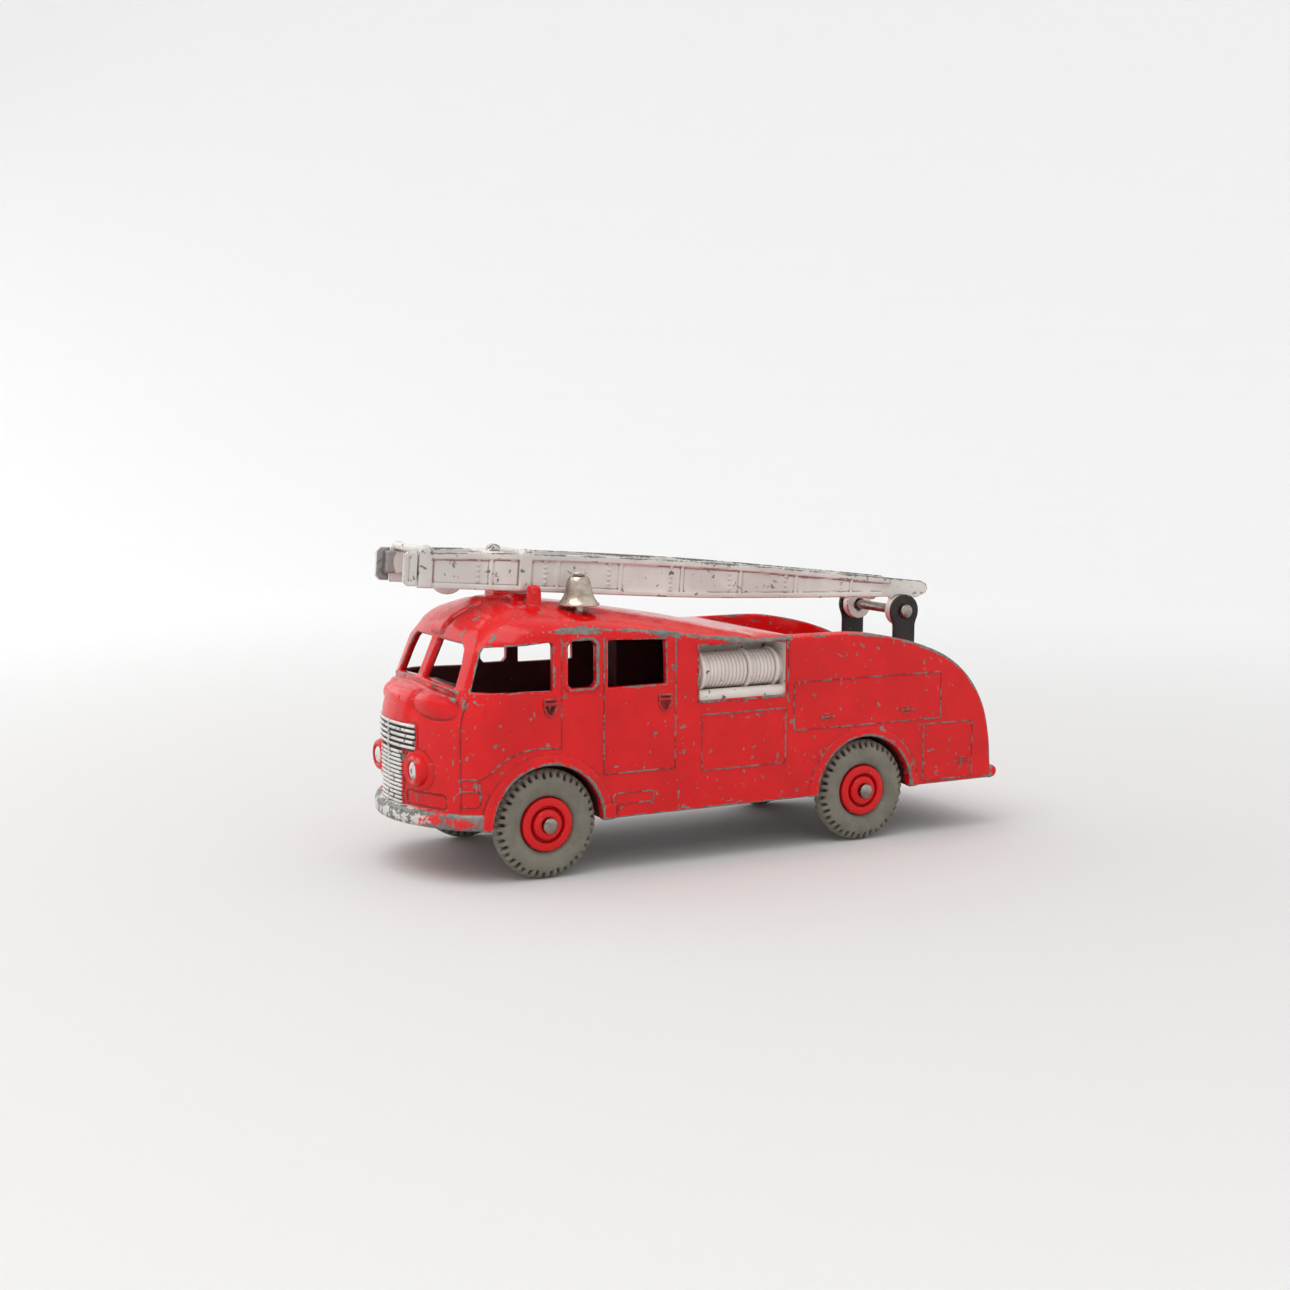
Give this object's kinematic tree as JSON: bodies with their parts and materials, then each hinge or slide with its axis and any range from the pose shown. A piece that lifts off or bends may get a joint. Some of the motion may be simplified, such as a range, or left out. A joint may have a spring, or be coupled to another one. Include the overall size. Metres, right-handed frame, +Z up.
{
  "type": "toy fire engine",
  "caption": "Die-cast toy fire engine with an enclosed crew cab, free-rolling wheels, a roof bell and a raising, extending ladder on a rear pivot bracket.",
  "frame": {"origin": "on the ground plane under the middle of the bounding box, level with the lowest point of the tyres", "axes": "+X forward out of the nose, +Y to the vehicle's left, +Z up"},
  "size_m": [0.139, 0.0486, 0.0662],
  "materials": {
    "red_enamel": "gloss",
    "silver_paint": "satin",
    "black_enamel": "satin",
    "grey_rubber": "matte",
    "bright_steel": "satin",
    "bell_metal": "satin"
  },
  "bodies": {
    "body": {"body_casting": "red_enamel", "base_plate": "black_enamel", "base_rivet_front": "bright_steel", "base_rivet_rear": "bright_steel", "front_axle": "bright_steel", "rear_axle": "bright_steel", "bell": "bell_metal", "bell_rivet": "bell_metal", "ladder_bracket": "black_enamel", "bracket_rivet": "bright_steel", "ladder_pin": "bright_steel"},
    "front_left_wheel": {"front_left_hub": "red_enamel", "front_left_tyre": "grey_rubber"},
    "front_right_wheel": {"front_right_hub": "red_enamel", "front_right_tyre": "grey_rubber"},
    "rear_left_wheel": {"rear_left_hub": "red_enamel", "rear_left_tyre": "grey_rubber"},
    "rear_right_wheel": {"rear_right_hub": "red_enamel", "rear_right_tyre": "grey_rubber"},
    "ladder": {"main_ladder": "silver_paint"},
    "extension": {"extension_ladder": "silver_paint"}
  },
  "joints": [
    {"name": "front_left_wheel_spin", "type": "hinge", "parent": "body", "child": "front_left_wheel", "pos_m": [0.0428, 0, 0.0111], "axis": [0, 1, 0], "continuous": true},
    {"name": "front_right_wheel_spin", "type": "hinge", "parent": "body", "child": "front_right_wheel", "pos_m": [0.0428, 0, 0.0111], "axis": [0, 1, 0], "continuous": true},
    {"name": "rear_left_wheel_spin", "type": "hinge", "parent": "body", "child": "rear_left_wheel", "pos_m": [-0.033, 0, 0.0111], "axis": [0, 1, 0], "continuous": true},
    {"name": "rear_right_wheel_spin", "type": "hinge", "parent": "body", "child": "rear_right_wheel", "pos_m": [-0.033, 0, 0.0111], "axis": [0, 1, 0], "continuous": true},
    {"name": "ladder_elevation", "type": "hinge", "parent": "body", "child": "ladder", "pos_m": [-0.0518, 0, 0.0485], "axis": [0, -1, 0], "range_deg": [0, 75]},
    {"name": "ladder_extension", "type": "slide", "parent": "ladder", "child": "extension", "axis": [0.9977, 0, 0.068], "range_m": [0, 0.06]}
  ]
}
